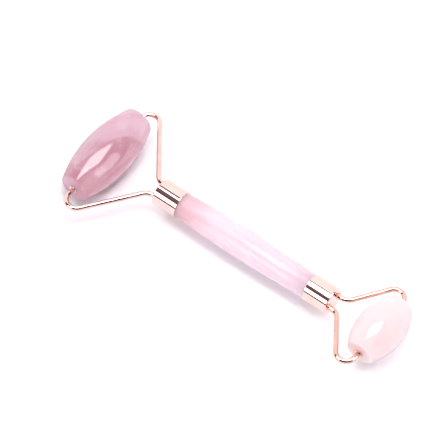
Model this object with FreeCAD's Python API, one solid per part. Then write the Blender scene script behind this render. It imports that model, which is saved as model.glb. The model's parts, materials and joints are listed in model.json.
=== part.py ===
"""Double-ended face roller: a stone handle with a metal ferrule at each end, and a bent wire fork at each
ferrule that holds a barrel-shaped stone on two sprung pins.

Millimetres. +X runs along the handle to the large stone, +Y along both stones' spin axes, +Z up. The wires and
the spin axes all lie in the XY plane. Everything is drawn about the middle of the handle and then moved along X,
so that the finished part's origin is the middle of its overall box, which is on the handle's axis too.
"""

import FreeCAD
import Part
import math
import os

V = FreeCAD.Vector
X_AXIS = V(1, 0, 0)
Y_AXIS = V(0, 1, 0)
Z_AXIS = V(0, 0, 1)
ORIGIN = V(0, 0, 0)
FULL_TURN = 360

# Handle: a barrel-turned stone rod whose two ends are plain cylinders hidden in the ferrules.
HANDLE_VISIBLE_LENGTH = 60.0
HANDLE_MIDDLE_RADIUS = 5.92
HANDLE_END_RADIUS = 4.95
HANDLE_INSERT_DEPTH = 6.5
HANDLE_END_CHAMFER = 0.5

# Ferrule: a drawn cup with a closed end that the fork's two wires pass through.
FERRULE_RADIUS = 5.5
FERRULE_LENGTH = 10.5
FERRULE_BORE_RADIUS = 5.05
FERRULE_END_WALL = 1.0
FERRULE_FACE_ROUNDING = 0.35
FERRULE_MOUTH_ROUNDING = 0.15

# Adhesive: fills the ferrule behind the handle's end, with a thin skirt round the handle.
ADHESIVE_MOUTH_SETBACK = 0.3

# Fork arms: round wire, bent outward near the ferrule and back inward to make the pin.
WIRE_RADIUS = 1.0
ARM_SPACING = 6.0
ARM_STUB_IN_ADHESIVE = 2.0
INNER_BEND_RADIUS = 5.0
PIN_DEPTH_IN_STONE = 6.0
PIN_TIP_ROUNDING = 0.5

# Solder fillet round each wire, on the ferrule's closed end.
SOLDER_FOOT_RADIUS = 1.65
SOLDER_TOP_RADIUS = 1.06
SOLDER_HEIGHT = 0.6

# Sleeve: a short metal tube pressed into each end of a stone's bore, in which the pin turns.
SLEEVE_RADIUS = 1.5
SLEEVE_BORE_RADIUS = 1.05
SLEEVE_LENGTH = 7.0
SLEEVE_PROUD = 0.5
SLEEVE_MOUTH_CHAMFER = 0.15

# The two heads. side is the end's sign in X. splay_deg is the angle between an arm and the handle's axis, and
# splay_gap is the distance from the ferrule's closed end to the corner where an arm's two straights would meet.
# stone_slide is how far the stone has slid along its pins, in Y: it has some play there.
LARGE = {
    "name": "large",
    "side": 1,
    "axle_x": 67.2,
    "splay_deg": 53.1,
    "splay_gap": 3.3,
    "outer_bend_radius": 4.0,
    "stone_half_length": 20.1,
    "stone_radius": 9.7,
    "stone_end_radius": 5.75,
    "stone_edge_rounding": 1.3,
    "stone_slide": -0.95,
}
SMALL = {
    "name": "small",
    "side": -1,
    "axle_x": -61.3,
    "splay_deg": 55.2,
    "splay_gap": 3.9,
    "outer_bend_radius": 3.9,
    "stone_half_length": 13.2,
    "stone_radius": 9.2,
    "stone_end_radius": 5.3,
    "stone_edge_rounding": 1.5,
    "stone_slide": -0.8,
}

FERRULE_MOUTH_X = HANDLE_VISIBLE_LENGTH / 2
FERRULE_FACE_X = FERRULE_MOUTH_X + FERRULE_LENGTH
FERRULE_FLOOR_X = FERRULE_FACE_X - FERRULE_END_WALL
HANDLE_END_X = FERRULE_MOUTH_X + HANDLE_INSERT_DEPTH


def revolved(edges, axis):
    """The solid that a closed outline in the XY plane sweeps about an axis through the origin."""
    face = Part.Face(Part.Wire(edges))
    return face.revolve(ORIGIN, axis, FULL_TURN)


def line(a, b):
    return Part.LineSegment(a, b).toShape()


def arc(a, middle, b):
    return Part.Arc(a, middle, b).toShape()


def polyline(points):
    """Straight edges through the points and back to the first."""
    return [line(a, b) for a, b in zip(points, points[1:] + points[:1])]


def circle_edges(shape, radius, axis_index, position):
    """The shape's round edges of one radius that lie at one position along an axis (0 for X, 1 for Y)."""
    tolerance = 1e-3
    found = []
    for edge in shape.Edges:
        curve = edge.Curve
        if not isinstance(curve, Part.Circle) or abs(curve.Radius - radius) > tolerance:
            continue
        if abs(curve.Center[axis_index] - position) < tolerance:
            found.append(edge)
    return found


def mirrored_to(head, shape):
    """A shape made for the +X end, moved to the head's own end."""
    if head["side"] > 0:
        return shape
    return shape.mirror(ORIGIN, X_AXIS)


def handle():
    """A stone rod: a long shallow arc between the ferrules, and a chamfered cylinder in each."""
    chamfer = HANDLE_END_CHAMFER
    right_end = [
        V(FERRULE_MOUTH_X, HANDLE_END_RADIUS, 0),
        V(HANDLE_END_X - chamfer, HANDLE_END_RADIUS, 0),
        V(HANDLE_END_X, HANDLE_END_RADIUS - chamfer, 0),
        V(HANDLE_END_X, 0, 0),
    ]
    left_end = [V(-p.x, p.y, 0) for p in reversed(right_end)]
    barrel = arc(left_end[-1], V(0, HANDLE_MIDDLE_RADIUS, 0), right_end[0])
    around = right_end + left_end
    straights = [line(a, b) for a, b in zip(around, around[1:])]
    return revolved([barrel] + straights, X_AXIS)


def ferrule(head, arms):
    """A cup with rounded rims, whose closed end the two arms pass through."""
    cup = Part.makeCylinder(FERRULE_RADIUS, FERRULE_LENGTH, V(FERRULE_MOUTH_X, 0, 0), X_AXIS)
    face_rim = circle_edges(cup, FERRULE_RADIUS, 0, FERRULE_FACE_X)
    cup = cup.makeFillet(FERRULE_FACE_ROUNDING, face_rim)
    mouth_rim = circle_edges(cup, FERRULE_RADIUS, 0, FERRULE_MOUTH_X)
    cup = cup.makeFillet(FERRULE_MOUTH_ROUNDING, mouth_rim)
    depth = FERRULE_LENGTH - FERRULE_END_WALL
    cup = cup.cut(Part.makeCylinder(FERRULE_BORE_RADIUS, depth, V(FERRULE_MOUTH_X, 0, 0), X_AXIS))
    cup = mirrored_to(head, cup)
    for arm in arms:
        cup = cup.cut(arm)
    return cup


def adhesive(head, arms):
    """The set adhesive: a disc between the handle's end and the cup's floor, and a skirt round the handle."""
    skirt_x = FERRULE_MOUTH_X + ADHESIVE_MOUTH_SETBACK
    fill = Part.makeCylinder(FERRULE_BORE_RADIUS, FERRULE_FLOOR_X - skirt_x, V(skirt_x, 0, 0), X_AXIS)
    fill = mirrored_to(head, fill.cut(handle()))
    for arm in arms:
        fill = fill.cut(arm)
    return fill


def bend(corner, before, after, radius):
    """Start, middle and end of the arc that rounds a corner between two unit directions."""
    turn = before.getAngle(after)
    reach = radius * math.tan(turn / 2)
    start = corner - before * reach
    end = corner + after * reach
    to_centre = after - before
    to_centre.normalize()
    centre = corner + to_centre * (radius / math.cos(turn / 2))
    middle = centre - to_centre * radius
    return start, middle, end


def arm(head, hand):
    """One wire of a fork. hand is 1 for the +Y arm and -1 for the -Y arm."""
    splay = math.radians(head["splay_deg"])
    axle_x = abs(head["axle_x"])
    half_spacing = ARM_SPACING / 2
    out = V(math.cos(splay), math.sin(splay), 0)
    inner_corner = V(FERRULE_FACE_X + head["splay_gap"], half_spacing, 0)
    rise = (axle_x - inner_corner.x) * math.tan(splay)
    outer_corner = V(axle_x, half_spacing + rise, 0)
    inward = V(0, -1, 0)
    start = V(FERRULE_FLOOR_X - ARM_STUB_IN_ADHESIVE, half_spacing, 0)
    tip = V(axle_x, head["stone_half_length"] - PIN_DEPTH_IN_STONE, 0)
    inner = bend(inner_corner, X_AXIS, out, INNER_BEND_RADIUS)
    outer = bend(outer_corner, out, inward, head["outer_bend_radius"])
    path = Part.Wire(
        [line(start, inner[0]), arc(*inner), line(inner[2], outer[0]), arc(*outer), line(outer[2], tip)]
    )
    section = Part.Wire([Part.Circle(start, X_AXIS, WIRE_RADIUS).toShape()])
    wire = path.makePipeShell([section], True, False)
    tip_rim = circle_edges(wire, WIRE_RADIUS, 1, tip.y)
    wire = wire.makeFillet(PIN_TIP_ROUNDING, tip_rim)
    if hand < 0:
        wire = wire.mirror(ORIGIN, Y_AXIS)
    return mirrored_to(head, wire)


def solder(head, hand, arm_solid):
    """A small concave fillet that runs up the wire from the ferrule's closed end."""
    spread = SOLDER_FOOT_RADIUS - SOLDER_TOP_RADIUS
    foot = V(0, SOLDER_FOOT_RADIUS, 0)
    top = V(SOLDER_HEIGHT, SOLDER_TOP_RADIUS, 0)
    hollow = V(SOLDER_HEIGHT * 0.3, SOLDER_TOP_RADIUS + spread * 0.3, 0)
    edges = [arc(foot, hollow, top)]
    edges += [line(top, V(SOLDER_HEIGHT, 0, 0)), line(V(SOLDER_HEIGHT, 0, 0), ORIGIN), line(ORIGIN, foot)]
    fillet = revolved(edges, X_AXIS)
    fillet.translate(V(FERRULE_FACE_X, hand * ARM_SPACING / 2, 0))
    return mirrored_to(head, fillet).cut(arm_solid)


def stone(head):
    """A barrel with flat rounded-off ends, drilled through along its spin axis for the two sleeves."""
    half = head["stone_half_length"]
    end_radius = head["stone_end_radius"]
    low = V(end_radius, -half, 0)
    high = V(end_radius, half, 0)
    barrel = arc(low, V(head["stone_radius"], 0, 0), high)
    edges = [barrel, line(high, V(0, half, 0)), line(V(0, half, 0), V(0, -half, 0)), line(V(0, -half, 0), low)]
    body = revolved(edges, Y_AXIS)
    rims = circle_edges(body, end_radius, 1, half) + circle_edges(body, end_radius, 1, -half)
    body = body.makeFillet(head["stone_edge_rounding"], rims)
    body = body.cut(Part.makeCylinder(SLEEVE_RADIUS, 2 * half, V(0, -half, 0), Y_AXIS))
    body.translate(V(head["axle_x"], head["stone_slide"], 0))
    return body


def sleeve(head, hand):
    """A thin tube with a chamfered mouth that stands slightly proud of the stone's end."""
    outer_y = head["stone_half_length"] + SLEEVE_PROUD
    inner_y = outer_y - SLEEVE_LENGTH
    chamfer = SLEEVE_MOUTH_CHAMFER
    outline = [
        V(SLEEVE_BORE_RADIUS, inner_y, 0),
        V(SLEEVE_RADIUS, inner_y, 0),
        V(SLEEVE_RADIUS, outer_y - chamfer, 0),
        V(SLEEVE_RADIUS - chamfer, outer_y, 0),
        V(SLEEVE_BORE_RADIUS, outer_y, 0),
    ]
    tube = revolved(polyline(outline), Y_AXIS)
    if hand < 0:
        tube = tube.mirror(ORIGIN, Y_AXIS)
    tube.translate(V(head["axle_x"], head["stone_slide"], 0))
    return tube


def head_parts(head):
    """Every piece at one end of the handle, by node name. Left is the -Y side."""
    name = head["name"]
    sides = {"left": -1, "right": 1}
    arms = {side: arm(head, hand) for side, hand in sides.items()}
    parts = {
        f"{name}_ferrule": ferrule(head, list(arms.values())),
        f"{name}_ferrule_adhesive": adhesive(head, list(arms.values())),
        f"{name}_roller_stone": stone(head),
    }
    for side, hand in sides.items():
        parts[f"{name}_fork_{side}_arm"] = arms[side]
        parts[f"{name}_fork_{side}_solder"] = solder(head, hand, arms[side])
        parts[f"{name}_roller_{side}_sleeve"] = sleeve(head, hand)
    return parts


def overall_middle_x():
    """Half way between the two stones' outermost points, which are the ends of the whole part."""
    ends = [head["axle_x"] + head["side"] * head["stone_radius"] for head in (LARGE, SMALL)]
    return sum(ends) / 2


def main():
    parts = {"handle_stone": handle()}
    parts.update(head_parts(LARGE))
    parts.update(head_parts(SMALL))
    to_origin = V(-overall_middle_x(), 0, 0)
    os.makedirs("parts", exist_ok=True)
    for node, shape in parts.items():
        if len(shape.Solids) != 1 or not shape.isValid():
            raise RuntimeError(f"{node} is not one valid solid")
        solid = shape.Solids[0]
        solid.translate(to_origin)
        solid.exportStep(f"parts/{node}.step")
        print(f"{node}: {solid.Volume:.2f} mm3")


main()
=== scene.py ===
"""Looks for the double-ended face roller: polished rose quartz and mirror-polished rose gold, lying on a
white studio table under an overhead softbox.

The frame is in metres: +X runs along the handle to the large stone, +Y along the stones' spin axes, +Z up.
The object's sizes below are in millimetres, and are multiplied by MM where a mesh is made.
"""

import bpy
import json
import math
from mathutils import Matrix, Vector

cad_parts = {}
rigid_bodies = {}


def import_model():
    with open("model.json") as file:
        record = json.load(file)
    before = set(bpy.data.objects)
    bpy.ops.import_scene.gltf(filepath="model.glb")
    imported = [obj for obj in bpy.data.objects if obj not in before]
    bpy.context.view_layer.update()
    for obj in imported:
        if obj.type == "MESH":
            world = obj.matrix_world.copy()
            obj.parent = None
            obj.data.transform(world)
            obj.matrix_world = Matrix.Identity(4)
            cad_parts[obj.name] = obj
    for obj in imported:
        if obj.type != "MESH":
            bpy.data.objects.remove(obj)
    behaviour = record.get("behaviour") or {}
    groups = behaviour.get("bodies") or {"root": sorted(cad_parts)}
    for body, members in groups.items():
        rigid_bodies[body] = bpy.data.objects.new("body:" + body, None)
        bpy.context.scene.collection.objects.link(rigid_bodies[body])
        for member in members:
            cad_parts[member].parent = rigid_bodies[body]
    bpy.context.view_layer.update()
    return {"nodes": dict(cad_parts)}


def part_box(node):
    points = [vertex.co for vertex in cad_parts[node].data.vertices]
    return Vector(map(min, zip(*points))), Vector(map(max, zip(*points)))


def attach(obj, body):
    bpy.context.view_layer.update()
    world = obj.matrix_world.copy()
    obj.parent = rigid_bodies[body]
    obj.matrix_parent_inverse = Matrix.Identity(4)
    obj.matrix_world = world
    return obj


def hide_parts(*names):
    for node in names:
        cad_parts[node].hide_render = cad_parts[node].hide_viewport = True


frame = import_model()

MM = 0.001
X_AXIS = Vector((1, 0, 0))
Y_AXIS = Vector((0, 1, 0))
Z_AXIS = Vector((0, 0, 1))

# Camera, in metres and degrees. AIM is the point that the lens's axis passes through.
CAMERA_AIM = Vector((0.00752, -0.00037, 0.00451))
CAMERA_AZIMUTH = 217.14
CAMERA_ELEVATION = 56.28
CAMERA_ROLL = -0.30
CAMERA_DISTANCE = 1.436
CAMERA_LENS_MM = 308.9
CAMERA_SENSOR_MM = 36.0
CAMERA_CLIP_END = 100.0

# Shared hardware, in millimetres.
HANDLE_MIDDLE_RADIUS = 5.92
HANDLE_END_RADIUS = 4.95
HANDLE_END_CHAMFER = 0.5
HANDLE_INSERT_DEPTH = 6.5
FERRULE_BORE_RADIUS = 5.05
FERRULE_END_WALL = 1.0
FERRULE_FACE_ROUNDING = 0.35
FERRULE_MOUTH_ROUNDING = 0.15
WIRE_RADIUS = 1.0
ARM_SPACING = 6.0
ARM_STUB_IN_ADHESIVE = 2.0
INNER_BEND_RADIUS = 5.0
PIN_TIP_ROUNDING = 0.5
SOLDER_FOOT_RADIUS = 1.65
SOLDER_TOP_RADIUS = 1.06
SOLDER_HEIGHT = 0.6
SOLDER_CONCAVITY = 2.2
SOLDER_UNEVENNESS = 0.035
SOLDER_LOBES = (3, 2)
SLEEVE_BORE_RADIUS = 1.05
SLEEVE_MOUTH_ROUNDING = 0.12
STONE_BORE_RADIUS = 1.52
STONE_BORE_CHAMFER = 0.2

# What differs between the two heads. side is the end's sign in X, and the wire gold pair is the darker and
# the lighter
# display colour of its wires: the ferrules' plating with painted shade and reflection, darker on the large
# fork, darker and redder on the small.
HEADS = {
    "large": {
        "side": 1,
        "splay_deg": 53.1,
        "splay_gap": 3.3,
        "outer_bend_radius": 4.0,
        "stone_end_radius": 5.75,
        "stone_edge_rounding": 1.3,
        "wire_gold_with_painted_shade": ((234, 200, 191), (238, 208, 199)),
    },
    "small": {
        "side": -1,
        "splay_deg": 55.2,
        "splay_gap": 3.9,
        "outer_bend_radius": 3.9,
        "stone_end_radius": 5.3,
        "stone_edge_rounding": 1.5,
        "wire_gold_with_painted_shade": ((228, 186, 172), (233, 195, 182)),
    },
}
HANDS = {"left": -1, "right": 1}

# Mesh fineness: segments round an axis, then the steps of arcs, in degrees or as a number for half a barrel.
STONE_SEGMENTS = 144
ROD_SEGMENTS = 128
SLEEVE_SEGMENTS = 64
TUBE_SEGMENTS = 40
ARC_STEP_DEG = 6.0
BEND_STEP_DEG = 3.0
LIP_STEP_DEG = 15.0
HANDLE_HALF_STEPS = 32
STONE_HALF_STEPS = 24
SOLDER_STEPS = 8
SHARP_EDGE = math.radians(35)

# Support points stand this far inside the ends of a straight, unless it is shorter than SHORT_STRAIGHT.
SUPPORT_GAP = 0.04
SHORT_STRAIGHT = 4 * SUPPORT_GAP

# The tools that cut the ferrules' holes reach this far past the wall on both sides, in millimetres.
DRILL_OVERSHOOT = 1.0


# ---------------------------------------------------------------- geometry helpers


def arc_points(centre, radius, start_deg, end_deg, step_deg=ARC_STEP_DEG):
    """Points on a circle from one angle to another, both ends included."""
    steps = max(2, math.ceil(abs(end_deg - start_deg) / step_deg))
    points = []
    for i in range(steps + 1):
        angle = math.radians(start_deg + (end_deg - start_deg) * i / steps)
        points.append((centre[0] + radius * math.cos(angle), centre[1] + radius * math.sin(angle)))
    return points


def straight(a, b):
    """A line's two support points, just inside its ends, which keep it flat in smooth shading."""
    length = math.hypot(b[0] - a[0], b[1] - a[1])
    if length < SHORT_STRAIGHT:
        return []
    near = SUPPORT_GAP / length
    return [(a[0] + (b[0] - a[0]) * t, a[1] + (b[1] - a[1]) * t) for t in (near, 1 - near)]


def with_supports(outline, closed):
    """The outline with support points on every long straight."""
    points = []
    last = len(outline) if closed else len(outline) - 1
    for i in range(last):
        a, b = outline[i], outline[(i + 1) % len(outline)]
        points.append(a)
        points.extend(straight(a, b))
    if not closed:
        points.append(outline[-1])
    return points


def new_piece(name, vertices, faces, material):
    """A smooth-shaded mesh object, whose edges sharper than SHARP_EDGE stay crisp."""
    mesh = bpy.data.meshes.new(name)
    mesh.from_pydata([tuple(v) for v in vertices], [], faces)
    mesh.validate()
    mesh.materials.append(material)
    mesh.shade_smooth()
    mesh.set_sharp_from_angle(angle=SHARP_EDGE)
    piece = bpy.data.objects.new(name, mesh)
    bpy.context.scene.collection.objects.link(piece)
    return piece


def lathe(name, outline, origin, axis, segments, material, closed=True, wobble=None):
    """Turns an outline of (along the axis, radius) points, in millimetres, about an axis through origin.
    A closed outline makes a ring, and an open one is capped flat. wobble(along, angle) scales the radius."""
    across = Z_AXIS
    up = axis.cross(across)
    vertices = []
    for along, radius in outline:
        for s in range(segments):
            angle = 2 * math.pi * s / segments
            r = radius * (wobble(along, angle) if wobble else 1)
            outwards = across * math.cos(angle) + up * math.sin(angle)
            vertices.append(origin + (axis * along + outwards * r) * MM)
    faces = []
    rings = len(outline)
    for k in range(rings if closed else rings - 1):
        low, high = k * segments, (k + 1) % rings * segments
        for s in range(segments):
            t = (s + 1) % segments
            faces.append((low + s, high + s, high + t, low + t))
    if not closed:
        faces.append(tuple(range(segments)))
        faces.append(tuple(reversed(range((rings - 1) * segments, rings * segments))))
    return outward(new_piece(name, vertices, faces, material))


def outward(piece):
    """Flips the mesh when its faces point inward."""
    volume = 0.0
    mesh = piece.data
    mesh.calc_loop_triangles()
    for triangle in mesh.loop_triangles:
        a, b, c = (mesh.vertices[i].co for i in triangle.vertices)
        volume += a.dot(b.cross(c))
    if volume < 0:
        mesh.flip_normals()
    return piece


def bend_points(corner, before, after, radius):
    """The arc that rounds a corner between two directions in the XY plane, as (point, direction) pairs."""
    turn = before.angle(after)
    reach = radius * math.tan(turn / 2)
    start = corner - before * reach
    sign = 1 if before.cross(after).z > 0 else -1
    centre = start + Z_AXIS.cross(before) * sign * radius
    steps = math.ceil(math.degrees(turn) / BEND_STEP_DEG)
    points = []
    for i in range(steps + 1):
        spin = Matrix.Rotation(sign * turn * i / steps, 3, "Z")
        points.append((centre + spin @ (start - centre), spin @ before))
    return points


def tube(name, path, radius, tip_rounding, material):
    """Sweeps a round wire along a flat path of (point, direction) pairs in millimetres, to a rounded tip."""
    rings = [(point, direction, radius) for point, direction in path]
    tip, forward, _ = rings.pop()
    for along, r in arc_points((-tip_rounding, radius - tip_rounding), tip_rounding, 90, 0, LIP_STEP_DEG):
        rings.append((tip + forward * along, forward, r))
    vertices = []
    for point, direction, r in rings:
        side = Z_AXIS.cross(direction)
        for s in range(TUBE_SEGMENTS):
            angle = 2 * math.pi * s / TUBE_SEGMENTS
            vertices.append((point + (side * math.cos(angle) + Z_AXIS * math.sin(angle)) * r) * MM)
    faces = []
    for k in range(len(rings) - 1):
        for s in range(TUBE_SEGMENTS):
            t = (s + 1) % TUBE_SEGMENTS
            low, high = k * TUBE_SEGMENTS, (k + 1) * TUBE_SEGMENTS
            faces.append((low + s, low + t, high + t, high + s))
    faces.append(tuple(reversed(range(TUBE_SEGMENTS))))
    faces.append(tuple(range((len(rings) - 1) * TUBE_SEGMENTS, len(rings) * TUBE_SEGMENTS)))
    return outward(new_piece(name, vertices, faces, material))


def cut(piece, tools):
    """Cuts the tool objects out of a piece and deletes them."""
    for tool in tools:
        modifier = piece.modifiers.new("cut", "BOOLEAN")
        modifier.operation = "DIFFERENCE"
        modifier.solver = "EXACT"
        modifier.object = tool
    bpy.context.view_layer.update()
    evaluated = piece.evaluated_get(bpy.context.evaluated_depsgraph_get())
    mesh = bpy.data.meshes.new_from_object(evaluated)
    piece.modifiers.clear()
    old = piece.data
    piece.data = mesh
    bpy.data.meshes.remove(old)
    mesh.name = piece.name
    mesh.set_sharp_from_angle(angle=SHARP_EDGE)
    for tool in tools:
        bpy.data.objects.remove(tool)
    return piece


def mm_box(node):
    """A CAD node's box, in millimetres."""
    low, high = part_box(node)
    return low / MM, high / MM


def place(piece, body, slot, *nodes):
    """Makes a piece ride on a body and stand for CAD nodes, which it hides. slot is not used."""
    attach(piece, body)
    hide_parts(*nodes)


# ---------------------------------------------------------------- material helpers


# The sockets of a Mix node that mixes colours.
MIX_FACTOR, MIX_A, MIX_B = 0, 6, 7
MIX_RESULT = 2


class Nodes:
    """Adds shader nodes to a tree in one call each."""

    def __init__(self, tree):
        self.tree = tree

    def add(self, kind, inputs=None, **settings):
        """A node with its settings, and its inputs linked or set."""
        node = self.tree.nodes.new(kind)
        for key, value in settings.items():
            setattr(node, key, value)
        for key, value in (inputs or {}).items():
            if isinstance(value, bpy.types.NodeSocket):
                self.tree.links.new(value, node.inputs[key])
            else:
                node.inputs[key].default_value = value
        return node

    def math(self, operation, a, b=0.0):
        return self.add("ShaderNodeMath", {0: a, 1: b}, operation=operation).outputs[0]

    def vector_math(self, operation, *vectors):
        inputs = dict(enumerate(vectors))
        return self.add("ShaderNodeVectorMath", inputs, operation=operation).outputs["Value"]

    def smooth(self, value, low, high, out_low=0.0, out_high=1.0):
        """A smooth step of a value, from out_low at low to out_high at high."""
        inputs = {
            "Value": value,
            "From Min": low,
            "From Max": high,
            "To Min": out_low,
            "To Max": out_high,
        }
        return self.add("ShaderNodeMapRange", inputs, interpolation_type="SMOOTHSTEP").outputs["Result"]

    def noise(self, vector, scale, detail, roughness=0.5, distortion=0.0):
        inputs = {
            "Vector": vector,
            "Scale": scale,
            "Detail": detail,
            "Roughness": roughness,
            "Distortion": distortion,
        }
        return self.add("ShaderNodeTexNoise", inputs).outputs["Fac"]

    def mix(self, factor, a, b):
        inputs = {MIX_FACTOR: factor, MIX_A: a, MIX_B: b}
        return self.add("ShaderNodeMix", inputs, data_type="RGBA").outputs[MIX_RESULT]

    def mapping(self, vector, scale, offset):
        inputs = {"Vector": vector, "Scale": scale, "Location": offset}
        return self.add("ShaderNodeMapping", inputs).outputs["Vector"]

    def millimetres(self, stretch=(1, 1, 1), offset=(0, 0, 0)):
        """Object coordinates in millimetres, stretched and moved."""
        where = self.add("ShaderNodeTexCoord").outputs["Object"]
        return self.mapping(where, tuple(s / MM for s in stretch), offset)

    def bump(self, height, strength, distance_mm):
        inputs = {"Height": height, "Strength": strength, "Distance": distance_mm * MM}
        return self.add("ShaderNodeBump", inputs).outputs["Normal"]


def rgb(red, green, blue):
    """A linear colour from display values of 0 to 255, by the sRGB curve."""
    def linear(value):
        value /= 255
        return value / 12.92 if value <= 0.04045 else ((value + 0.055) / 1.055) ** 2.4
    return (linear(red), linear(green), linear(blue), 1.0)


def new_material(name):
    """A material, with its node adder and its Principled shader."""
    material = bpy.data.materials.new(name)
    material.use_nodes = True
    shader = material.node_tree.nodes["Principled BSDF"]
    return material, Nodes(material.node_tree), shader


def link(nodes, shader, **sockets):
    """Links values to the shader's sockets, named with _ for each space."""
    for name, value in sockets.items():
        nodes.tree.links.new(value, shader.inputs[name.replace("_", " ")])


# ---------------------------------------------------------------- materials

# Noises are (scale, detail, roughness, distortion), with the scale per millimetre and the last two optional.
# EDGES are the two noise values that a smooth step runs between. BUMP is (strength, height in millimetres).
NOISE_MIDDLE = 0.5

STONE_CLOUDS = (0.11, 4.0, 0.55, 0.6)
STONE_CLOUD_EDGES = (0.35, 0.65)
STONE_BANDS = (0.045, 2.0, 0.5, 1.4)
STONE_BAND_EDGES = (0.48, 0.66)
STONE_CRACKS = (0.07, 5.0, 0.6, 1.2)
STONE_CRACK_WIDTH = 0.02
STONE_FIBRES = (0.3, 4.0, 0.65, 1.0)
STONE_FIBRE_EDGES = (0.5, 0.68)
STONE_GRAIN = (1.6, 3.0, 0.6)
STONE_GRAIN_EDGES = (0.3, 0.7)
STONE_GRAIN_STRENGTH = 0.12
STONE_POLISH_EDGES = (0.2, 0.8)
STONE_POLISH_SPREAD = (0.8, 1.2)
STONE_RIPPLE = (0.3, 2.0)
STONE_RIPPLE_STRENGTH = 0.03
STONE_SEED_DIRECTION = (1.0, 1.7, 2.3)
STONE_IOR = 1.54
STONE_SCATTER_COLOUR = (1.0, 0.75, 0.8)
PATCH_RAGGEDNESS = 1.3

GOLD_SHADES = (0.15, 2.0)
GOLD_SHADE_EDGES = (0.35, 0.65)
GOLD_POLISH = (1.3, 4.0, 0.6)
GOLD_POLISH_EDGES = (0.3, 0.7)
GOLD_ROUGHNESS = (0.03, 0.06)
GOLD_RIPPLE = (0.4, 2.0)
GOLD_BUMP = (0.04, 0.02)
FERRULE_GOLD = (rgb(241, 215, 206), rgb(244, 221, 213))

SOLDER_RIPPLE = (2.4, 3.0, 0.6)
SOLDER_SHADE_EDGES = (0.35, 0.65)
# The solder's colours, darker and redder than the plating: partly its own tone, partly painted shade at the
# wire roots.
SOLDER_TONES_AND_ROOT_SHADE = (rgb(222, 158, 140), rgb(244, 196, 178))
SOLDER_POLISH_EDGES = (0.3, 0.7)
SOLDER_ROUGHNESS = (0.12, 0.3)
SOLDER_BUMP = (0.5, 0.06)

ADHESIVE_CLOUDS = (0.8, 4.0)
ADHESIVE_SHADE_EDGES = (0.4, 0.7)
ADHESIVE_SHADES = (rgb(244, 232, 214), rgb(252, 246, 238))
ADHESIVE_POLISH_EDGES = (0.3, 0.7)
ADHESIVE_ROUGHNESS = (0.2, 0.4)
ADHESIVE_BUMP = (0.3, 0.05)

# The table's grain is per metre. It is lit from within between two distances from the object, in metres.
TABLE_COLOUR = (0.935, 0.92, 0.955, 1.0)
TABLE_GRAIN = (900.0, 3.0)
TABLE_GRAIN_SHADE = 0.985
TABLE_BUMP = (0.05, 0.05)
TABLE_GLOW_RANGE = (0.12, 0.48)
TABLE_ROUGHNESS = 0.9
TABLE_GLOSS = 0.1
WHITE = (1.0, 1.0, 1.0, 1.0)


def quartz(name, stone):
    """Rose quartz: cloudy pink stone with milky bands, healed cracks, fibres, colour patches and a fine
    polish. Some colour patches are painted light and shade.
    """
    material, n, shader = new_material(name)
    plain = n.millimetres()
    where = n.millimetres(stone["stretch"], tuple(stone["seed"] * c for c in STONE_SEED_DIRECTION))
    cloud = n.noise(where, *STONE_CLOUDS)
    band = n.noise(where, *STONE_BANDS)
    grain = n.noise(plain, *STONE_GRAIN)
    ridge = n.math("ABSOLUTE", n.math("SUBTRACT", n.noise(where, *STONE_CRACKS), NOISE_MIDDLE))
    crack = n.smooth(ridge, 0.0, STONE_CRACK_WIDTH, stone["cracks"], 0.0)
    fibre = n.noise(where, *STONE_FIBRES)

    def inside(centre, size, soft, strength):
        return patch(n, plain, cloud, centre, size, soft, strength)

    colour = n.mix(n.smooth(cloud, *STONE_CLOUD_EDGES), stone["deep"], stone["body"])
    colour = n.mix(n.smooth(band, *STONE_BAND_EDGES, 0.0, stone["banding"]), colour, stone["milk"])
    for centre, size, soft, tint, strength in stone["tints_and_painted_light"]:
        colour = n.mix(inside(centre, size, soft, strength), colour, tint)
    colour = n.mix(crack, colour, stone["milk"])
    colour = n.mix(n.smooth(fibre, *STONE_FIBRE_EDGES, 0.0, stone["fibres"]), colour, stone["milk"])
    colour = n.mix(n.smooth(grain, *STONE_GRAIN_EDGES, 0.0, STONE_GRAIN_STRENGTH), colour, stone["milk"])
    link(n, shader, Base_Color=colour)
    smoothest, roughest = (stone["roughness"] * s for s in STONE_POLISH_SPREAD)
    roughness = n.smooth(grain, *STONE_POLISH_EDGES, smoothest, roughest)
    for dull_patch in stone["dull"]:
        roughness = n.math("ADD", roughness, inside(*dull_patch))
    link(n, shader, Roughness=roughness)
    ripple = n.noise(plain, *STONE_RIPPLE)
    link(n, shader, Normal=n.bump(ripple, STONE_RIPPLE_STRENGTH, stone["ripple"]))
    depth = stone["scatter"] * MM
    for shallow_patch in stone["shallow"]:
        depth = n.math("MULTIPLY", depth, n.math("SUBTRACT", 1.0, inside(*shallow_patch)))
    if stone["shallow"]:
        link(n, shader, Subsurface_Scale=depth)
    else:
        shader.inputs["Subsurface Scale"].default_value = depth
    shader.inputs["Transmission Weight"].default_value = stone["clear"]
    shader.inputs["IOR"].default_value = STONE_IOR
    shader.inputs["Specular IOR Level"].default_value = stone["gloss"]
    shader.inputs["Subsurface Weight"].default_value = 1.0
    shader.inputs["Subsurface Radius"].default_value = STONE_SCATTER_COLOUR
    return material


def patch(n, where, cloud, centre, size, soft, strength):
    """Strength inside an ellipsoid and 0 outside, with a soft edge that the stone's clouds break up."""
    local = n.mapping(where, tuple(1 / s for s in size), tuple(-c / s for c, s in zip(centre, size)))
    raggedness = n.math("MULTIPLY", n.math("SUBTRACT", cloud, NOISE_MIDDLE), PATCH_RAGGEDNESS * soft)
    distance = n.math("ADD", n.vector_math("LENGTH", local), raggedness)
    return n.smooth(distance, 1 - soft, 1.0, strength, 0.0)


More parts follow.
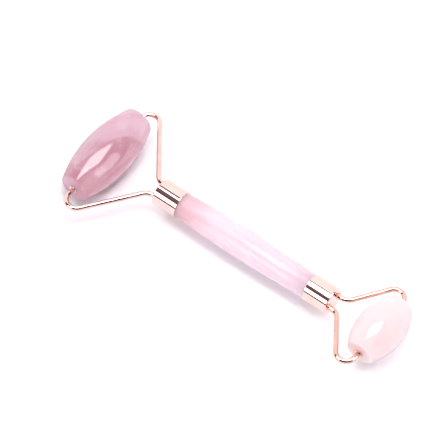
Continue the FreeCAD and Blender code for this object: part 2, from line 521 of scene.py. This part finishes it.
def rose_gold(name, dark, light):
    """Mirror-polished rose gold plate, slightly uneven in shade and polish."""
    material, n, shader = new_material(name)
    shade = n.noise(n.millimetres(), *GOLD_SHADES)
    polish = n.noise(n.millimetres(), *GOLD_POLISH)
    ripple = n.noise(n.millimetres(), *GOLD_RIPPLE)
    link(n, shader, Base_Color=n.mix(n.smooth(shade, *GOLD_SHADE_EDGES), dark, light))
    link(n, shader, Roughness=n.smooth(polish, *GOLD_POLISH_EDGES, *GOLD_ROUGHNESS))
    link(n, shader, Normal=n.bump(ripple, *GOLD_BUMP))
    shader.inputs["Metallic"].default_value = 1.0
    return material


def solder_metal():
    """Plated solder, rippled and duller than the gold, and darker and redder than it: partly its own tone,
    partly painted shade where the wires meet the ferrules.
    """
    material, n, shader = new_material("solder")
    ripple = n.noise(n.millimetres(), *SOLDER_RIPPLE)
    link(n, shader, Base_Color=n.mix(n.smooth(ripple, *SOLDER_SHADE_EDGES), *SOLDER_TONES_AND_ROOT_SHADE))
    link(n, shader, Roughness=n.smooth(ripple, *SOLDER_POLISH_EDGES, *SOLDER_ROUGHNESS))
    link(n, shader, Normal=n.bump(ripple, *SOLDER_BUMP))
    shader.inputs["Metallic"].default_value = 1.0
    return material


def adhesive():
    """Set epoxy: slightly yellow and cloudy."""
    material, n, shader = new_material("clear_adhesive")
    cloud = n.noise(n.millimetres(), *ADHESIVE_CLOUDS)
    link(n, shader, Base_Color=n.mix(n.smooth(cloud, *ADHESIVE_SHADE_EDGES), *ADHESIVE_SHADES))
    link(n, shader, Roughness=n.smooth(cloud, *ADHESIVE_POLISH_EDGES, *ADHESIVE_ROUGHNESS))
    link(n, shader, Normal=n.bump(cloud, *ADHESIVE_BUMP))
    return material


def table_top():
    """White table, lit from within beyond the object so that it stays white out to its edge."""
    material, n, shader = new_material("table_top")
    where = n.add("ShaderNodeTexCoord").outputs["Object"]
    grain = n.noise(where, *TABLE_GRAIN)
    link(n, shader, Base_Color=n.mix(grain, TABLE_COLOUR, tuple(c * TABLE_GRAIN_SHADE for c in TABLE_COLOUR)))
    link(n, shader, Emission_Strength=n.smooth(n.vector_math("LENGTH", where), *TABLE_GLOW_RANGE))
    link(n, shader, Normal=n.bump(grain, *TABLE_BUMP))
    shader.inputs["Emission Color"].default_value = WHITE
    shader.inputs["Roughness"].default_value = TABLE_ROUGHNESS
    shader.inputs["Specular IOR Level"].default_value = TABLE_GLOSS
    return material


# ---------------------------------------------------------------- the three stones

# deep and body are the two colours of the stone's clouds, and milk is the colour of its bands, cracks and
# fibres, which have strengths of 0 to 1. stretch squeezes the noises along X, Y and Z, and seed moves them.
# ripple is the bump's height and scatter is how far light goes in, both in millimetres. gloss is the
# specular level, and clear is the share of light that passes straight through. Patches are ellipsoids: a
# centre and half sizes in millimetres, and a softness. Colour patches have a colour and a strength, and
# some of them are painted light and shade, as marked at each. Those under dull add roughness, and those
# under shallow take away a share of scatter.
QUARTZ = {
    "large": {
        "deep": rgb(208, 158, 174),
        "body": rgb(216, 169, 185),
        "milk": rgb(236, 208, 220),
        "stretch": (1, 0.4, 1),
        "seed": 3.0,
        "banding": 0.35,
        "cracks": 0.45,
        "fibres": 0.45,
        "roughness": 0.01,
        "ripple": 0.02,
        "gloss": 0.45,
        "scatter": 2.0,
        "clear": 0.15,
        "tints_and_painted_light": [
            # Milky veil over the -Y half and the top: partly the stone's own milkiness, partly a painted
            # reflection of the white wall.
            ((80, -24, 2), (34, 30, 40), 0.12, rgb(230, 190, 206), 0.85),
            # Painted shade: the darker core, over the camera side and the +Y half, where the stone looks deep
            # inside.
            ((58, 18, -6), (10.7, 33.6, 23.8), 0.05, rgb(211, 157, 173), 0.85),
            # Painted light: the lower flank on the camera side lightened, where the white table reflects in
            # it and shines through the stone.
            ((54, 2, -3), (7, 24, 7), 0.7, rgb(230, 188, 202), 0.7),
            # A pale arc along the top towards the -Y end: partly milky cloud, partly a painted reflection.
            ((66, -6, 9), (3.5, 4, 4), 0.8, rgb(240, 218, 230), 0.1),
            ((63.5, -10.5, 8.5), (3.5, 4, 4), 0.8, rgb(240, 218, 230), 0.5),
            ((61, -15, 7), (3.5, 4, 4), 0.8, rgb(240, 218, 230), 0.3),
            # Painted reflection: the greyish-lilac sheen of the white wall on the upper +X flank.
            ((72, 2, 6), (5, 9, 6), 0.6, rgb(218, 194, 208), 0.5),
            # Painted shade: the dark core's end, on top near the +Y end.
            ((68, 17, 6), (6, 5, 7), 0.6, rgb(200, 144, 158), 0.6),
            ((57, 15, 5), (6, 9, 8), 0.7, rgb(230, 190, 202), 0.6),
            ((55.2, 2, 4.4), (1.6, 17, 1.6), 0.7, rgb(240, 206, 214), 0.4),
            ((57, -17, 3), (6, 6, 7), 0.7, rgb(244, 214, 226), 0.6),
            ((66, 20, 3), (6, 2.5, 6), 0.6, rgb(232, 206, 220), 0.6),
        ],
        "dull": [],
        "shallow": [],
    },
    "small": {
        "deep": rgb(239, 217, 218),
        "body": rgb(240, 220, 222),
        "milk": rgb(243, 231, 232),
        "stretch": (1, 0.8, 1),
        "seed": 11.0,
        "banding": 0.4,
        "cracks": 0.1,
        "fibres": 0.15,
        "roughness": 0.03,
        "ripple": 0.03,
        "gloss": 0.4,
        "scatter": 9.0,
        "clear": 0.0,
        "tints_and_painted_light": [
            # Painted see-through light: the warm colour of the metal sleeves showing through the stone round
            # both bores, which also paints over the bore's grey shade.
            ((-64.5, 12.4, 0), (2.9, 1.7, 2.9), 0.6, rgb(255, 203, 180), 0.9),
            ((-64.5, -14.0, 0), (2.9, 1.7, 2.9), 0.6, rgb(255, 203, 180), 0.9),
        ],
        "dull": [],
        "shallow": [((-64.5, 12.4, 0), (6, 4, 6), 0.7, 0.93), ((-64.5, -14.0, 0), (6, 4, 6), 0.7, 0.93)],
    },
    "handle": {
        "deep": rgb(237, 213, 222),
        "body": rgb(240, 220, 229),
        "milk": rgb(244, 230, 237),
        "stretch": (0.25, 1, 1),
        "seed": 7.0,
        "banding": 0.6,
        "cracks": 0.2,
        "fibres": 0.3,
        "roughness": 0.05,
        "ripple": 0.01,
        "gloss": 0.25,
        "scatter": 8.0,
        "clear": 0.0,
        "tints_and_painted_light": [
            ((33, 0, 0), (25, 20, 20), 0.8, rgb(225, 175, 185), 0.9),
            ((-34, 0, 2), (11, 10, 10), 0.8, rgb(218, 192, 206), 0.9),
        ],
        "dull": [((30, 0, 0), (38, 20, 20), 0.4, 0.4), ((-38, 0, 0), (18, 20, 20), 0.7, 0.4)],
        "shallow": [],
    },
}


# ---------------------------------------------------------------- studio

# Directions seen from above: VIEW_RIGHT is the picture's right and VIEW_AWAY leads away from the camera.
AZIMUTH = math.radians(CAMERA_AZIMUTH)
VIEW_RIGHT = Vector((math.cos(AZIMUTH), math.sin(AZIMUTH), 0))
VIEW_AWAY = Vector((-math.sin(AZIMUTH), math.cos(AZIMUTH), 0))

TABLE_HALF_SIZE = 3.0

# Softboxes, in metres: middle is (right, away, up) and size is (width, height). A level box faces down, and
# any other faces the object. Its radiances are shown, which only reflections show, on_object and on_table. It
# is shown in all pieces except those that it is hidden_from, or only in those that it is kept_for.
SOFTBOXES = {
    "overhead": {
        "middle": (-0.010, 0.013, 0.55),
        "size": (0.490, 0.246),
        "level": True,
        "shown": 9.0,
        "on_object": 3.4,
        "hidden_from": ("large_stone", "small_stone"),
    },
    "overhead_table": {
        "middle": (-0.010, -0.035, 0.55),
        "size": (0.36, 0.18),
        "level": True,
        "on_table": 12.5,
    },
    "overhead_large": {
        "middle": (-0.002, 0.060, 0.60),
        "size": (0.475, 0.331),
        "level": True,
        "shown": 10.5,
        "kept_for": ("large_stone",),
    },
    "overhead_small": {
        "middle": (0.044, -0.061, 0.62),
        "size": (0.477, 0.352),
        "level": True,
        "shown": 9.0,
        "kept_for": ("small_stone",),
    },
    "right": {
        "middle": (0.49, -0.22, 0.30),
        "size": (0.30, 0.40),
        "shown": 4.5,
        "on_object": 1.6,
        "on_table": 1.6,
        "hidden_from": ("large_stone", "small_stone"),
    },
    "right_large": {
        "middle": (0.50, -0.22, 0.32),
        "size": (0.33, 0.48),
        "shown": 4.5,
        "kept_for": ("large_stone",),
    },
    "left": {
        "middle": (-0.480, -0.256, 0.254),
        "size": (0.36, 0.27),
        "shown": 3.5,
        "on_object": 1.6,
        "on_table": 1.6,
        "hidden_from": ("small_stone",),
    },
    "fill": {
        "middle": (0.0, -1.1, 1.0),
        "size": (1.6, 1.6),
        "on_object": 1.6,
    },
}

# A softbox's lights are stacked this far apart, in metres, because lights in one place hide each other.
LIGHT_GAP = 0.002

# The light on the table comes in shares, because the stones let some through and the hardware's shadows are
# faint: each share with the pieces that it passes as if they weren't there.
FERRULES = tuple(f"{name}_ferrule_{piece}" for name in HEADS for piece in ("shell", "adhesive"))
WIRES = tuple(f"{name}_fork_{side_name}_wire" for name in HEADS for side_name in HANDS)
HARDWARE = FERRULES + WIRES
TABLE_SHARES = (
    (0.38, ()),
    (0.09, HARDWARE),
    (0.35, (*HARDWARE, "small_stone")),
    (0.10, (*HARDWARE, "small_stone", "handle")),
    (0.08, (*HARDWARE, "small_stone", "handle", "large_stone")),
)

# The room that the metal reflects: a white back wall up to a slope, and darkness above and round the camera,
# which turns from low to high between two values of the direction's Z.
ROOM_WHITE = (1.18, 1.18, 1.18, 1.0)
ROOM_DARK_HIGH = (0.22, 0.14, 0.17, 1.0)
ROOM_DARK_LOW = (0.03, 0.015, 0.02, 1.0)
ROOM_DARK_EDGES = (0.5, 0.9)
WALL_SLOPE = math.tan(math.radians(67))
WALL_SOFTNESS = 0.04


def make_camera():
    """The camera, aimed at CAMERA_AIM."""
    elevation = math.radians(CAMERA_ELEVATION)
    back = -VIEW_AWAY * math.cos(elevation) + Z_AXIS * math.sin(elevation)
    up = back.cross(VIEW_RIGHT)
    turn = Matrix((VIEW_RIGHT, up, back)).transposed() @ Matrix.Rotation(math.radians(-CAMERA_ROLL), 3, "Z")
    data = bpy.data.cameras.new("camera")
    data.sensor_width = CAMERA_SENSOR_MM
    data.lens = CAMERA_LENS_MM
    data.clip_end = CAMERA_CLIP_END
    camera = bpy.data.objects.new("camera", data)
    camera.matrix_world = Matrix.Translation(CAMERA_AIM + back * CAMERA_DISTANCE) @ turn.to_4x4()
    bpy.context.scene.collection.objects.link(camera)
    bpy.context.scene.camera = camera


def area_light(name, placement, size, radiance):
    """A rectangular light of an even radiance, which rays pass without seeing it."""
    width, height = size
    data = bpy.data.lights.new(name, "AREA")
    data.shape = "RECTANGLE"
    data.size = width
    data.size_y = height
    data.energy = radiance * math.pi * width * height
    light = bpy.data.objects.new(name, data)
    light.matrix_world = placement
    light.visible_camera = False
    light.visible_glossy = False
    light.visible_transmission = False
    bpy.context.scene.collection.objects.link(light)
    return light


def make_softbox(name, box):
    """A softbox as a stack of area lights: one that lights the object, one for each share of the table's
    light, and one that only reflections show. It has only those that its radiances ask for."""
    right, away, up = box["middle"]
    position = VIEW_RIGHT * right + VIEW_AWAY * away + Z_AXIS * up
    level = box.get("level", False)
    back = Z_AXIS if level else position.normalized()
    side = VIEW_RIGHT if level else Z_AXIS.cross(back).normalized()
    turn = Matrix((side, back.cross(side), back)).transposed().to_4x4()
    layers = range(len(TABLE_SHARES) + 2)
    for_object, *for_table, in_reflections = (
        Matrix.Translation(position + back * layer * LIGHT_GAP) @ turn for layer in layers
    )
    if "on_object" in box:
        light = area_light(f"{name}_object", for_object, box["size"], box["on_object"])
        light.light_linking.receiver_collection = group(f"{light.name}_lit", ["table"], "EXCLUDE")
    if "on_table" in box:
        for index, (share, passed) in enumerate(TABLE_SHARES):
            radiance = box["on_table"] * share
            light = area_light(f"{name}_table_{index}", for_table[index], box["size"], radiance)
            light.light_linking.receiver_collection = group(f"{light.name}_lit", ["table"], "INCLUDE")
            light.light_linking.blocker_collection = group(f"{light.name}_passed", passed, "EXCLUDE")
    if "shown" in box:
        light = area_light(f"{name}_shown", in_reflections, box["size"], box["shown"])
        if "kept_for" in box:
            shown_in = group(f"{light.name}_in", box["kept_for"], "INCLUDE")
        else:
            shown_in = group(f"{light.name}_in", box["hidden_from"], "EXCLUDE")
        light.light_linking.receiver_collection = shown_in
        light.visible_diffuse = False
        light.visible_glossy = True
        light.visible_transmission = True


def group(name, members, state):
    """A light-linking collection that includes only its members, or excludes them."""
    collection = bpy.data.collections.new(name)
    for index, member in enumerate(members):
        collection.objects.link(bpy.data.objects[member])
        collection.collection_objects[index].light_linking.link_state = state
    return collection


def make_room():
    """The surroundings, by direction: a white wall, or darkness. The camera itself sees only white."""
    world = bpy.data.worlds.new("room")
    bpy.context.scene.world = world
    world.use_nodes = True
    n = Nodes(world.node_tree)
    direction = n.add("ShaderNodeTexCoord").outputs["Generated"]
    away = n.vector_math("DOT_PRODUCT", direction, VIEW_AWAY)
    up = n.add("ShaderNodeSeparateXYZ", {0: direction}).outputs["Z"]
    over_wall = n.math("SUBTRACT", up, n.math("MULTIPLY", away, WALL_SLOPE))
    wall = n.smooth(over_wall, -WALL_SOFTNESS, WALL_SOFTNESS, 1.0, 0.0)
    seen = n.add("ShaderNodeLightPath").outputs["Is Camera Ray"]
    dark = n.mix(n.smooth(up, *ROOM_DARK_EDGES), ROOM_DARK_LOW, ROOM_DARK_HIGH)
    colour = n.mix(n.math("MAXIMUM", wall, seen), dark, ROOM_WHITE)
    background = world.node_tree.nodes["Background"]
    world.node_tree.links.new(colour, background.inputs["Color"])


def make_table():
    """A table top that touches the undersides of both stones, which differ slightly in radius."""
    large_low, large_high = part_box("large_roller_stone")
    small_low, small_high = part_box("small_roller_stone")
    large_x, small_x = (large_low.x + large_high.x) / 2, (small_low.x + small_high.x) / 2
    slope = (large_low.z - small_low.z) / (large_x - small_x)
    height = large_low.z - slope * large_x
    corners = []
    for x_sign, y_sign in ((-1, -1), (1, -1), (1, 1), (-1, 1)):
        x, y = x_sign * TABLE_HALF_SIZE, y_sign * TABLE_HALF_SIZE
        corners.append((x, y, height + slope * x))
    mesh = bpy.data.meshes.new("table")
    mesh.from_pydata(corners, [], [(0, 1, 2, 3)])
    mesh.materials.append(table_top())
    table = bpy.data.objects.new("table", mesh)
    bpy.context.scene.collection.objects.link(table)


# ---------------------------------------------------------------- pieces


def make_handle(material):
    """A barrel-turned rod, whose plain ends are glued inside the ferrules."""
    low, high = mm_box("handle_stone")
    mouth = (high.x - low.x) / 2 - HANDLE_INSERT_DEPTH
    middle = (high.x + low.x) / 2
    rise = HANDLE_MIDDLE_RADIUS - HANDLE_END_RADIUS
    curve = (mouth * mouth + rise * rise) / (2 * rise)
    half_deg = math.degrees(math.asin(mouth / curve))
    step_deg = half_deg / HANDLE_HALF_STEPS
    barrel = arc_points((0, HANDLE_MIDDLE_RADIUS - curve), curve, 90 + half_deg, 90 - half_deg, step_deg)
    end = mouth + HANDLE_INSERT_DEPTH
    chamfer = HANDLE_END_CHAMFER
    plug = [(end - chamfer, HANDLE_END_RADIUS), (end, HANDLE_END_RADIUS - chamfer)]
    outline = [(-a, r) for a, r in reversed(plug)] + barrel + plug
    origin = X_AXIS * middle * MM
    rod = lathe("handle", with_supports(outline, False), origin, X_AXIS, ROD_SEGMENTS, material, closed=False)
    place(rod, "frame", "handle_quartz", "handle_stone")


def make_ferrule(name, head, material):
    """A drawn cup with a rolled mouth, and two holes for the wires in its closed end. Gives its face's X."""
    low, high = mm_box(f"{name}_ferrule")
    length, radius = high.x - low.x, (high.z - low.z) / 2
    axis = X_AXIS * head["side"]
    mouth_x = low.x if head["side"] > 0 else high.x
    face, floor = length, length - FERRULE_END_WALL
    corner, lip = FERRULE_FACE_ROUNDING, FERRULE_MOUTH_ROUNDING
    outline = [(floor, FERRULE_BORE_RADIUS), (0, FERRULE_BORE_RADIUS)]
    outline += arc_points((lip, radius - lip), lip, 180, 90, LIP_STEP_DEG)
    outline += arc_points((face - corner, radius - corner), corner, 90, 0)
    floor_support = (floor, FERRULE_BORE_RADIUS - SUPPORT_GAP)
    face_support = (face, radius - corner - SUPPORT_GAP)
    outline = [floor_support] + with_supports(outline, False) + [face_support]
    origin = X_AXIS * mouth_x * MM
    cup = lathe(f"{name}_ferrule_shell", outline, origin, axis, ROD_SEGMENTS, material, closed=False)
    drills = []
    for hand in HANDS.values():
        centre = origin + Y_AXIS * hand * ARM_SPACING / 2 * MM
        rod = [(floor - DRILL_OVERSHOOT, WIRE_RADIUS), (face + DRILL_OVERSHOOT, WIRE_RADIUS)]
        drills.append(lathe("drill", rod, centre, axis, TUBE_SEGMENTS, material, closed=False))
    place(cut(cup, drills), "frame", "rose_gold", f"{name}_ferrule")
    return mouth_x + head["side"] * face


def make_arm(name, side_name, head, face_x, material):
    """One wire of a fork: out of the ferrule, splayed to the stone's axle, and back in along it as a pin."""
    side, hand = head["side"], HANDS[side_name]
    low, high = mm_box(f"{name}_fork_{side_name}_arm")
    axle_x = (high.x if side > 0 else low.x) - side * WIRE_RADIUS
    splay = math.radians(head["splay_deg"])
    outward_x = X_AXIS * side
    out = outward_x * math.cos(splay) + Y_AXIS * hand * math.sin(splay)
    half_spacing = hand * ARM_SPACING / 2
    inner_corner = Vector((face_x + side * head["splay_gap"], half_spacing, 0))
    rise = abs(axle_x - inner_corner.x) * math.tan(splay)
    outer_corner = Vector((axle_x, half_spacing + hand * rise, 0))
    start = Vector((face_x - side * (FERRULE_END_WALL + ARM_STUB_IN_ADHESIVE), half_spacing, 0))
    tip_y = low.y if hand > 0 else high.y
    inward = Y_AXIS * -hand
    path = [(start, outward_x)]
    path += bend_points(inner_corner, outward_x, out, INNER_BEND_RADIUS)
    path += bend_points(outer_corner, out, inward, head["outer_bend_radius"])
    path.append((Vector((axle_x, tip_y, 0)), inward))
    wire = tube(f"{name}_fork_{side_name}_wire", path, WIRE_RADIUS, PIN_TIP_ROUNDING, material)
    place(wire, "frame", "rose_gold", f"{name}_fork_{side_name}_arm")


def make_solder(name, side_name, head, face_x, material):
    """A concave fillet of solder round the wire, with a slightly uneven foot."""
    hand = HANDS[side_name]
    spread = SOLDER_FOOT_RADIUS - SOLDER_TOP_RADIUS
    fillet = []
    for i in range(SOLDER_STEPS + 1):
        t = i / SOLDER_STEPS
        fillet.append((SOLDER_HEIGHT * t, SOLDER_TOP_RADIUS + spread * (1 - t) ** SOLDER_CONCAVITY))
    outline = [(0, WIRE_RADIUS)] + fillet + [(SOLDER_HEIGHT, WIRE_RADIUS)]

    def uneven(along, angle):
        foot = 1 - along / SOLDER_HEIGHT
        more, fewer = SOLDER_LOBES
        lobes = math.sin(more * angle + hand) * math.cos(fewer * angle + head["side"])
        return 1 - SOLDER_UNEVENNESS * foot * (1 + lobes)

    origin = Vector((face_x, hand * ARM_SPACING / 2, 0)) * MM
    axis = X_AXIS * head["side"]
    ring_name = f"{name}_fork_{side_name}_fillet"
    ring = lathe(ring_name, outline, origin, axis, TUBE_SEGMENTS, material, wobble=uneven)
    place(ring, "frame", "solder", f"{name}_fork_{side_name}_solder")


def make_stone(name, head, material):
    """A barrel with rounded ends, polished all over, drilled through for its two sleeves."""
    low, high = mm_box(f"{name}_roller_stone")
    half, radius = (high.y - low.y) / 2, (high.z - low.z) / 2
    origin = (low + high) / 2 * MM
    origin.z = 0
    end_radius, rounding = head["stone_end_radius"], head["stone_edge_rounding"]
    rise = radius - end_radius
    curve = (half * half + rise * rise) / (2 * rise)
    barrel_centre = (0, radius - curve)
    shift = math.sqrt((curve - rounding) ** 2 - (half - rounding) ** 2)
    edge_centre = (half - rounding, barrel_centre[1] + shift)
    half_deg = math.degrees(math.atan2(half - rounding, shift))
    barrel = arc_points(barrel_centre, curve, 90 + half_deg, 90 - half_deg, half_deg / STONE_HALF_STEPS)
    edge = arc_points(edge_centre, rounding, 90 - half_deg, 0)[1:]
    bore, chamfer = STONE_BORE_RADIUS, STONE_BORE_CHAMFER
    edge += [(half, bore + chamfer), (half - chamfer, bore)]
    outline = [(-a, r) for a, r in reversed(edge)] + barrel + edge
    outline = with_supports(outline, True)
    stone = lathe(f"{name}_stone", outline, origin, Y_AXIS, STONE_SEGMENTS, material)
    place(stone, f"{name}_roller", f"{name}_roller_quartz", f"{name}_roller_stone")


def make_sleeve(name, side_name, material):
    """A thin tube with a rolled mouth, pressed into one end of the stone's bore."""
    node = f"{name}_roller_{side_name}_sleeve"
    low, high = mm_box(node)
    hand = HANDS[side_name]
    length, radius = high.y - low.y, (high.z - low.z) / 2
    lip = SLEEVE_MOUTH_ROUNDING
    outline = [(0, SLEEVE_BORE_RADIUS), (0, radius)]
    outline += arc_points((length - lip, radius - lip), lip, 90, 0, LIP_STEP_DEG)
    outline += arc_points((length - lip, SLEEVE_BORE_RADIUS + lip), lip, 0, -90, LIP_STEP_DEG)
    origin = Vector(((low.x + high.x) / 2, low.y if hand > 0 else high.y, 0)) * MM
    outline = with_supports(outline, True)
    pipe = lathe(f"{node}_tube", outline, origin, Y_AXIS * hand, SLEEVE_SEGMENTS, material)
    place(pipe, f"{name}_roller", "rose_gold", node)


# ---------------------------------------------------------------- build

make_camera()
make_room()
make_table()

gold = rose_gold("rose_gold", *FERRULE_GOLD)
solder = solder_metal()
glue = adhesive()
make_handle(quartz("handle_quartz", QUARTZ["handle"]))
for name, head in HEADS.items():
    ferrule_face_x = make_ferrule(name, head, gold)
    make_stone(name, head, quartz(f"{name}_roller_quartz", QUARTZ[name]))
    # Each fork's wires are the same plating as the ferrules, darkened and reddened by painted shade and
    # reflection.
    dark, light = head["wire_gold_with_painted_shade"]
    wire_gold_with_painted_shade = rose_gold(f"rose_gold_{name}_wire", rgb(*dark), rgb(*light))
    for side_name in HANDS:
        make_arm(name, side_name, head, ferrule_face_x, wire_gold_with_painted_shade)
        make_solder(name, side_name, head, ferrule_face_x, solder)
        make_sleeve(name, side_name, gold)
    glue_node = frame["nodes"][f"{name}_ferrule_adhesive"]
    glue_node.data.materials.clear()
    glue_node.data.materials.append(glue)

for softbox_name, box in SOFTBOXES.items():
    make_softbox(softbox_name, box)
bpy.context.scene.view_settings.view_transform = "Standard"
